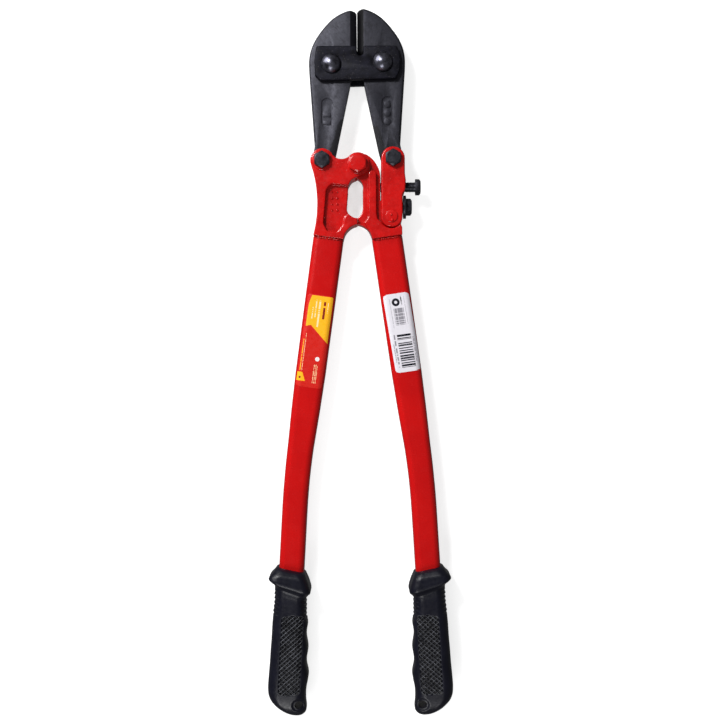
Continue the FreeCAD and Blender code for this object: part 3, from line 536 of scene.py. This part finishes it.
def tube():
    """The left tube from its rim at the arm to its end inside the grip."""
    rings = []
    stops = [0, 0.25, TUBE_NOSE] + list(np.linspace(2, TUBE_END, 165))
    for along in stops:
        x, y, lean = tube_axis(along)
        width, depth, corner = tube_section(along)
        tuck = TUBE_NOSE - math.sqrt(TUBE_NOSE ** 2 - (TUBE_NOSE - min(along, TUBE_NOSE)) ** 2)
        ring = rounded_ring(width - 2 * tuck, depth - 2 * tuck, corner - tuck)
        rings.append([across((x, y), lean, side, height) for side, height in ring])
    return smooth_shaded(skin("left_tube_drawn", rings), 60)


FILM_WIDE, FILM_LIFT, FILM_THICK = 22.4, 0.1, 0.09


def film(name, start, end, corner, drift=0.0):
    """A sticker on the front of the left tube from start to end along it, with UVs; drift is how far
    its lower end strays to the side."""
    columns, rows, half = 28, 70, FILM_WIDE / 2
    points, faces, uvs = [], [], []
    for row in range(rows + 1):
        along = start + (end - start) * row / rows
        x, y, lean = tube_axis(along)
        width, depth, radius = tube_section(along)
        edge = min(along - start, end - along)
        cut = max(0.0, corner - edge)
        reach = half - corner + math.sqrt(corner ** 2 - cut ** 2)
        for column in range(columns + 1):
            side = -reach + 2 * reach * column / columns
            place = side + drift * (along - start) / (end - start)
            over = min(max(0.0, abs(place) - (width / 2 - radius)), 0.99 * radius)
            height = depth / 2 - radius + math.sqrt(radius ** 2 - over ** 2) + FILM_LIFT
            points.append(across((x, y), lean, place, height))
            uvs.append(((side + half) / (2 * half), (end - along) / (end - start)))
    for row in range(rows):
        for column in range(columns):
            a = row * (columns + 1) + column
            faces.append((a, a + columns + 1, a + columns + 2, a + 1))
    mesh = bpy.data.meshes.new(name)
    mesh.from_pydata(points, [], faces)
    layer = mesh.uv_layers.new(name="UVMap")
    for loop in mesh.loops:
        layer.data[loop.index].uv = uvs[loop.vertex_index]
    item = new_object(name, mesh)
    body = item.modifiers.new("body", "SOLIDIFY")
    body.thickness = FILM_THICK * MM
    body.offset = -1
    return smooth_shaded(baked(item), 50)


def mirrored_film(item, name):
    """The twin of a film on the right tube; its print is turned back so that it isn't reversed."""
    twin = flipped(item, name)
    for loop in twin.data.uv_layers["UVMap"].data:
        loop.uv[0] = 1 - loop.uv[0]
    return twin


# ---------------------------------------------------------------------------------------------- grips

# Stations down the left grip: outer x, outer y, inner x, inner y, half depth, corner share.
GRIP = np.array([
    (-71.0, -345.9, -48.9, -350.6, 11.2, 0.62),
    (-72.1, -346.6, -47.7, -351.5, 13.2, 0.60),
    (-74.4, -349.8, -46.6, -354.4, 16.2, 0.50),
    (-77.9, -353.4, -44.2, -360.6, 17.6, 0.44),
    (-78.3, -355.9, -42.8, -366.0, 18.0, 0.44),
    (-76.5, -358.0, -43.0, -368.4, 17.6, 0.48),
    (-74.5, -359.9, -44.6, -370.2, 16.0, 0.56),
    (-73.7, -362.0, -46.2, -372.2, 14.4, 0.62),
    (-73.7, -366.5, -46.7, -375.4, 13.8, 0.64),
    (-74.0, -376.0, -46.8, -382.0, 13.7, 0.64),
    (-75.0, -384.5, -46.9, -388.5, 13.8, 0.64),
    (-76.0, -395.0, -45.6, -395.6, 14.0, 0.64),
    (-76.6, -405.0, -46.8, -404.6, 14.1, 0.64),
    (-77.6, -417.0, -45.4, -417.0, 14.1, 0.64),
    (-78.4, -428.5, -46.9, -428.5, 14.1, 0.64),
    (-79.5, -440.5, -45.2, -440.0, 14.1, 0.64),
    (-80.1, -450.4, -47.1, -450.6, 14.0, 0.66),
    (-79.7, -455.8, -47.7, -456.4, 13.8, 0.68),
    (-78.0, -460.5, -47.6, -462.0, 13.4, 0.70),
    (-74.7, -465.1, -47.0, -467.4, 12.4, 0.76),
    (-70.2, -469.4, -47.5, -470.8, 10.4, 0.84),
    (-64.4, -472.8, -49.8, -473.6, 7.4, 0.92),
    (-58.5, -474.6, -53.0, -474.9, 3.6, 0.98),
])
HANG = (-53.4, -463.5, 3.6)          # axis and radius of the left hanging hole
PANEL = (-59.8, -420.6, 9.7, 34.4)   # middle, half width and half length of the knurled panel
PANEL_LEAN = 0.055                   # its axis's shift in x for each millimetre in y


def interpolated(table, rows):
    """Catmull-Rom through the table's rows, evenly in its chord length."""
    steps = np.linalg.norm(np.diff(table[:, :4], axis=0), axis=1) + 0.3
    knots = np.concatenate([[0], np.cumsum(steps)])
    slopes = np.gradient(table, knots, axis=0)
    where = np.linspace(0, knots[-1], rows)
    index = np.clip(np.searchsorted(knots, where, side="right") - 1, 0, len(table) - 2)
    span = (knots[index + 1] - knots[index])[:, None]
    u = (where[:, None] - knots[index][:, None]) / span
    a, b = table[index], table[index + 1]
    ma, mb = slopes[index] * span, slopes[index + 1] * span
    return ((2 * u ** 3 - 3 * u ** 2 + 1) * a + (u ** 3 - 2 * u ** 2 + u) * ma
            + (-2 * u ** 3 + 3 * u ** 2) * b + (u ** 3 - u ** 2) * mb)


KNURL_WIDE, KNURL_HIGH = 4.5, 4.0    # one diamond of the knurling
FINE = 0.25                          # mesh spacing over the knurled panels
PIT_DEEP = 1.1                       # depth of the pits between its ridges
NECK_X, RIB_PITCH, RIB_HIGH = -60.0, 3.7, 1.3
DISH_WIDE, DISH_DEEP = 6.6, 1.2      # radius and depth of the dish round a hanging hole


def knurl(beside, along):
    """Share of the panel's relief at a point, and height of its diamond ridges there, 0 to 1."""
    inside = np.minimum(PANEL[2] - np.abs(beside), PANEL[3] - np.abs(along) - 0.028 * beside ** 2)
    first = np.abs((beside / KNURL_WIDE + along / KNURL_HIGH) % 1 - 0.5)
    second = np.abs((beside / KNURL_WIDE - along / KNURL_HIGH) % 1 - 0.5)
    ridge = np.maximum(eased((first - 0.34) / 0.11), eased((second - 0.34) / 0.11))
    return eased(inside / 1.2), ridge


def flank(half_wide, half_deep, corner, beside, count):
    """Points down the right side of a rounded rectangle, from its front to its back at beside."""
    flat_wide, flat_deep, arc = half_wide - corner, half_deep - corner, corner * math.pi / 2
    begin = beside if beside <= flat_wide else \
        flat_wide + corner * math.asin(min(1.0, (beside - flat_wide) / corner))
    total = 2 * flat_wide + 2 * arc + 2 * flat_deep
    points = []
    for way in np.linspace(begin, total - begin, count + 2)[1:-1]:
        near, back = (way, 1) if way <= total / 2 else (total - way, -1)
        if near <= flat_wide:
            points.append((near, back * half_deep))
        elif near <= flat_wide + arc:
            turn = (near - flat_wide) / corner
            points.append((flat_wide + corner * math.sin(turn),
                           back * (flat_deep + corner * math.cos(turn))))
        else:
            points.append((half_wide, back * (flat_deep - (near - flat_wide - arc))))
    return points


def face_depth(half_wide, half_deep, corner, beside):
    """Height of the front of a rounded rectangle at points beside its middle."""
    over = np.clip(np.abs(beside) - (half_wide - corner), 0, corner)
    return half_deep - corner + np.sqrt(corner ** 2 - over ** 2)


def grip():
    """The left grip: guard collar, ribbed neck, finger waves, knurled panels and hanging hole."""
    fine = interpolated(GRIP, 1500)
    middle = (fine[:, 1] + fine[:, 3]) / 2
    top, foot = PANEL[1] + PANEL[3], PANEL[1] - PANEL[3]
    path = np.concatenate([[0], np.cumsum(np.linalg.norm(np.diff(fine[:, :4], axis=0), axis=1) + 0.003)])
    in_panel = np.arange(top, foot - FINE / 2, -FINE)
    before, after = np.interp(-top, -middle, path), np.interp(-foot, -middle, path)
    where = np.concatenate([np.linspace(0, before, 76)[:-1], np.interp(-in_panel, -middle, path),
                            np.linspace(after, path[-1], 66)[1:]])
    stations = np.stack([np.interp(where, path, fine[:, k]) for k in range(6)], axis=1)

    reach, side_count = 11.0, 30         # half width of the finely meshed stripe, points down a side
    columns = np.arange(-reach, reach + FINE / 2, FINE)
    rows = []
    for outer_x, outer_y, inner_x, inner_y, half_deep, corner_share in stations:
        half_wide = math.hypot(inner_x - outer_x, inner_y - outer_y) / 2
        corner = corner_share * min(half_deep, half_wide)
        centre_x, centre_y = (outer_x + inner_x) / 2, (outer_y + inner_y) / 2
        axis = PANEL[0] + (centre_y - PANEL[1]) * PANEL_LEAN - centre_x
        axis = max(-0.3 * half_wide, min(0.3 * half_wide, axis))
        fit = min(1.0, (0.95 * half_wide - abs(axis)) / reach)
        beside = columns * fit + axis
        deep = face_depth(half_wide, half_deep, corner, beside)
        right = flank(half_wide, half_deep, corner, beside[-1], side_count)
        left = [(-x, z) for x, z in flank(half_wide, half_deep, corner, -beside[0], side_count)]
        ring = np.concatenate([np.stack([beside, deep], axis=1), np.array(right),
                               np.stack([beside, -deep], axis=1)[::-1], np.array(left)[::-1]])
        share = ring[:, 0] / (2 * half_wide)
        x, y = centre_x + (inner_x - outer_x) * share, centre_y + (inner_y - outer_y) * share
        rows.append(np.stack([x, y, ring[:, 1], np.abs(2 * share), np.full(len(x), half_deep)], axis=1))
    grid = np.array(rows)
    x, y, z, beyond, deep = (grid[:, :, k].copy() for k in range(5))

    # six ribs on both sides of the neck
    for outside, low, high in ((True, -387.5, -365.0), (False, -392.5, -373.0)):
        side = (x < NECK_X) if outside else (x >= NECK_X)
        wave = 0.5 + 0.5 * np.cos((y - high) / RIB_PITCH * 2 * math.pi)
        gate = eased((y - low) / 1.5) * eased((high - y) / 1.5) * eased((beyond - 0.62) / 0.3)
        x += np.where(side, (-1 if outside else 1) * (wave - 0.7) * RIB_HIGH * gate, 0)
        z *= 1 - np.where(side, 0.05 * (1 - wave) * gate, 0)

    # knurled panels, front and back: thin ridges left standing over small pits
    beside = x - PANEL[0] - (y - PANEL[1]) * PANEL_LEAN
    border, ridge = knurl(beside, y - PANEL[1])
    face = eased((np.abs(z) / deep - 0.66) / 0.12)
    z -= np.sign(z) * border * face * PIT_DEEP * (1 - ridge)

    # a shallow dish round the hanging hole
    away = np.hypot(x - HANG[0], y - HANG[1])
    z -= np.sign(z) * DISH_DEEP * eased((DISH_WIDE - away) / 2.6) * face

    surface = [[(px * MM, py * MM, MID_Z + pz * MM) for px, py, pz in zip(rx, ry, rz)]
               for rx, ry, rz in zip(x, y, z)]
    item = skin("left_grip_moulded", surface)
    drill_mesh = bpy.data.meshes.new("drill")
    form = bmesh.new()
    bmesh.ops.create_cone(form, cap_ends=True, segments=48, radius1=HANG[2] * MM, radius2=HANG[2] * MM,
                          depth=60 * MM, matrix=Matrix.Translation((HANG[0] * MM, HANG[1] * MM, MID_Z)))
    form.to_mesh(drill_mesh)
    form.free()
    drill = new_object("drill", drill_mesh)
    hole = item.modifiers.new("hole", "BOOLEAN")
    hole.operation = "DIFFERENCE"
    hole.object = drill
    hole.solver = "EXACT"
    baked(item)
    bpy.data.objects.remove(drill)
    return smooth_shaded(item, 50)


# ------------------------------------------------------------------------- small details of the arms

ARM_FACE, POCKET_FLOOR, RIVET_TOP = 28.5, 23.4, 29.5    # heights above the floor


def lathe(name, profile, x, y):
    """A ring about Z through a closed profile of (radius, z) in millimetres."""
    rings = [[(x * MM + r * MM * math.cos(turn), y * MM + r * MM * math.sin(turn), z * MM)
              for r, z in profile] for turn in np.linspace(0, 2 * math.pi, 64, endpoint=False)]
    rings.append(rings[0])
    item = skin(name, rings, close=False)
    form = bmesh.new()
    form.from_mesh(item.data)
    bmesh.ops.remove_doubles(form, verts=form.verts, dist=0.001 * MM)
    bmesh.ops.recalc_face_normals(form, faces=form.faces)
    form.to_mesh(item.data)
    form.free()
    return smooth_shaded(item, 60)


def detail(item, body, slot, material):
    """A small piece of Blender's own, with its finish, on a body."""
    item.data.materials.append(material)
    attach(item, body)
    return item


def boss_ring(name, x, y, inner):
    """The painted washer under a head on the left arm: a flat ring with a round rim."""
    outer, level, high = 8.9, ARM_FACE, 0.75
    rim = [(outer - high + high * math.cos(a), level + high * math.sin(a))
           for a in np.radians((0, 22, 45, 68, 90))]
    profile = [(inner, level - 0.4), (outer, level - 0.4)] + rim + [(inner, level + high)]
    detail(lathe(name, profile, x, y), "left_handle", "forged_red", forge)


def pips(name, body, spots, level):
    """Small cast bumps (x, y, radius, height) standing on a face."""
    form = bmesh.new()
    for x, y, radius, height in spots:
        flat = Matrix.Diagonal((radius * MM, radius * MM, height * MM, 1))
        bmesh.ops.create_uvsphere(form, u_segments=20, v_segments=12, radius=1,
                                  matrix=Matrix.Translation((x * MM, y * MM, level * MM)) @ flat)
    mesh = bpy.data.meshes.new(name)
    form.to_mesh(mesh)
    form.free()
    detail(smooth_shaded(new_object(name, mesh), 180), body, "forged_red", forge)


def seam_bead(name, body, side, front):
    """The uneven run of paint and weld that fills the step between an arm and its tube."""
    rings = []
    sign = 1 if front else -1
    width, depth, corner = tube_section(0)
    for share in np.linspace(-1, 1, 120):
        lump, stray = (noise.noise(Vector((share * 9, side * 3, sign + turn))) for turn in (0, 5.5))
        radius = 0.80 + 0.30 * lump
        beside = share * 11.6
        x, y, lean = tube_axis(0.7 + 0.6 * stray)
        over = max(0.0, abs(beside) - (width / 2 - corner))
        height = depth / 2 - corner + math.sqrt(corner ** 2 - over ** 2) + 0.35
        ring = []
        for turn in np.radians(np.arange(0, 360, 30)):
            point = across((x, y), lean, beside, sign * (height + radius * math.cos(turn)))
            ring.append((point[0], point[1] + radius * MM * math.sin(turn), point[2]))
        rings.append(ring)
    item = skin(name, rings)
    if side > 0:
        item.data.transform(Matrix.Translation((2 * MIRROR_X, 0, 0)) @ Matrix.Scale(-1, 4, (1, 0, 0)))
        item.data.flip_normals()
    detail(smooth_shaded(item, 180), body, "forged_red", forge)


def thread(name, body, y, start, end):
    """An M8 thread along X standing on a plain shank."""
    radius, pitch, height = 4.0, 1.25, 0.4
    rings = []
    turns = (end - start) / pitch
    for turn in np.linspace(0, 2 * math.pi * turns, int(turns * 28)):
        x = start + pitch * turn / (2 * math.pi)
        rings.append([(px * MM, y * MM + r * MM * math.cos(turn), MID_Z + r * MM * math.sin(turn))
                      for px, r in ((x - 0.5, radius - 0.12), (x, radius - 0.25), (x + 0.5, radius - 0.12),
                                    (x + 0.1, radius + height), (x - 0.1, radius + height))])
    detail(smooth_shaded(skin(name, rings), 40), body, "black_bolt", bolt_black)


# -------------------------------------------------------------------------------------------- assembly

paint, forge = tube_paint(), forged_paint()
strap_black = black_oxide("strap_black", 0.0045, 0.40, 0.7, blue=0.9)
bolt_black = black_oxide("bolt_black", 0.030, 0.26, 0.25)
dome_black = black_oxide("dome_black", 0.110, 0.22, 0.3, metal=0.95)
# painted light: left blade painted lighter than the right for the key lamp's sheen; grinding differs for
# real
lit_left_steel = blade_steel("left_blade_steel", grey(0.0045, 0.002), grey(0.044, 0.012), -42, 0.42,
                         (-14.9, 40.5, 1))
shaded_right_steel = blade_steel("right_blade_steel", grey(0.0025, 0.0012), grey(0.026, 0.009), 2, 0.42,
                          (18.1, 33.4, -1))
# painted shade: bevels coloured dark, the right one ten times darker, against the softbox's light on it
shaded_bevels = {"left_blade": edge_steel("left_edge_steel", 0.014),
          "right_blade": edge_steel("right_edge_steel", 0.0015)}
vinyl = grip_vinyl()

for node, seat in (("left_arm", -0.52), ("right_arm", -0.48)):
    forged(node, 0.42, 5, 0.12, forge, seat=seat)
for node in ("front_link_plate", "rear_link_plate"):
    forged(node, 0.36, 3, 0.07, forge)

for node, steel in (("left_blade", lit_left_steel), ("right_blade", shaded_right_steel)):
    blade = machined(node, 0.35, steel)
    blade.data.materials.append(shaded_bevels[node])
    for face in blade.data.polygons:
        if abs(face.normal.x) > 0.3 and abs(face.normal.z) > 0.3 and abs(face.center.x) < 6.2 * MM \
                and face.center.y > 86 * MM:
            face.material_index = 1
for node in ("front_strap", "rear_strap"):
    machined(node, 0.3, strap_black)
for node in ("left_tail_bolt", "left_tail_nut", "link_bolt", "link_nut", "adjusting_screw",
             "lock_screw", "lock_washer", "left_blade_nut", "right_blade_nut"):
    machined(node, 0.25, bolt_black)
for node in ("left_blade_bolt", "right_blade_bolt"):
    machined(node, 0.3, dome_black)
for node in ("centre_pivot_bolt", "centre_pivot_nut", "link_block", "link_rivet"):
    machined(node, 0.5, forge)

left_tube = tube()
stand_for(flipped(left_tube, "right_tube_drawn"), "right_tube", paint)
stand_for(left_tube, "left_tube", paint)
stand_for(film("left_label_film", 50, 130, 2.0), "left_label", tube_decal())
care = film("care_film", 49, 117, 3.0, drift=-1.7)
stand_for(mirrored_film(care, "right_label_film"), "right_label", white_label())
bpy.data.objects.remove(care)
boss_ring("left_tail_ring", -30.6, 3.4, 5.0)
boss_ring("centre_ring", 0, 0, 5.6)
pips("pocket_dots", "left_handle", [(-22.4 + 4.4 * column, -23.5 - 5.2 * row, 1.0, 1.1)
                                    for row in range(4) for column in range(2)], POCKET_FLOOR)
pips("rivet_marks", "link", ((28.3, -43.7, 1.1, 1.1), (29.3, -48.3, 1.1, 1.1)), RIVET_TOP)
for side, body in ((-1, "left_handle"), (1, "right_handle")):
    for front in (True, False):
        seam_bead(f"seam_{body}_{'front' if front else 'rear'}", body, side, front)
thread("adjusting_thread", "adjusting_screw", -18.8, 41.6, 49.2)
left_grip = grip()
stand_for(flipped(left_grip, "right_grip_moulded"), "right_grip", vinyl)
stand_for(left_grip, "left_grip", vinyl)


# ------------------------------------------------------------------------------------- stage and camera

def stage():
    """A pale glowing floor with painted shade under the tool, a dim surround, key lights from the
    upper left and a low fill from below.
    """
    bpy.ops.mesh.primitive_plane_add(size=24, location=(0, -0.17, 0))
    floor = bpy.context.object
    floor.name = "floor"
    floor.visible_glossy = False
    floor.visible_diffuse = False
    pale = Finish("floor_pale", Specular_IOR_Level=0.1, Roughness=0.9, Emission_Color=(1, 1, 1, 1))
    open_air = pale.add("AmbientOcclusion", {"samples": 8}, Distance=0.03).outputs["AO"]
    # painted shade: the floor's glow fades where ambient occlusion finds the tool close above it
    pale.set("Emission Strength", pale.ramp(open_air, 0.02, 0.15, 0.0, 0.78))
    pale.set("Base Color", pale.blend(pale.ramp(pale.cloud(60, 3), 0.3, 0.7), grey(0.47), grey(0.49)))
    floor.data.materials.append(pale.material)
    world = bpy.data.worlds.new("surround")
    bpy.context.scene.world = world
    world.use_nodes = True
    world.node_tree.nodes["Background"].inputs[0].default_value = (1, 1, 1, 1)
    world.node_tree.nodes["Background"].inputs[1].default_value = 0.14
    for name, place, power, size, target in (
            ("key", (-0.60, 0.60, 1.15), 17, 0.30, (0, -0.1, 0)),
            ("softbox", (-1.05, 0.85, 0.65), 22, 1.00, (0, -0.1, 0)),
            ("fill", (-0.25, -1.30, 0.95), 9, 0.60, (0, -0.2, 0))):
        lamp = bpy.data.lights.new(name, "AREA")
        lamp.energy = power
        lamp.size = size
        item = new_object(name, lamp)
        item.location = place
        item.rotation_euler = (Vector(target) - Vector(place)).to_track_quat("-Z", "Y").to_euler()


def camera():
    """Straight down on the tool, from 0.9 m above its mid-plane, rolled by a third of a degree."""
    height, view_wide = 0.9, 0.6242
    lens = bpy.data.cameras.new("camera")
    lens.sensor_width = 36
    lens.lens = 36 * height / view_wide
    lens.clip_start = 0.01
    item = new_object("camera", lens)
    item.location = (0.00093, -0.1682, MID_Z + height)
    item.rotation_euler = (0, 0, math.radians(-0.35))
    bpy.context.scene.camera = item


stage()
camera()
bpy.context.scene.view_settings.view_transform = "Standard"
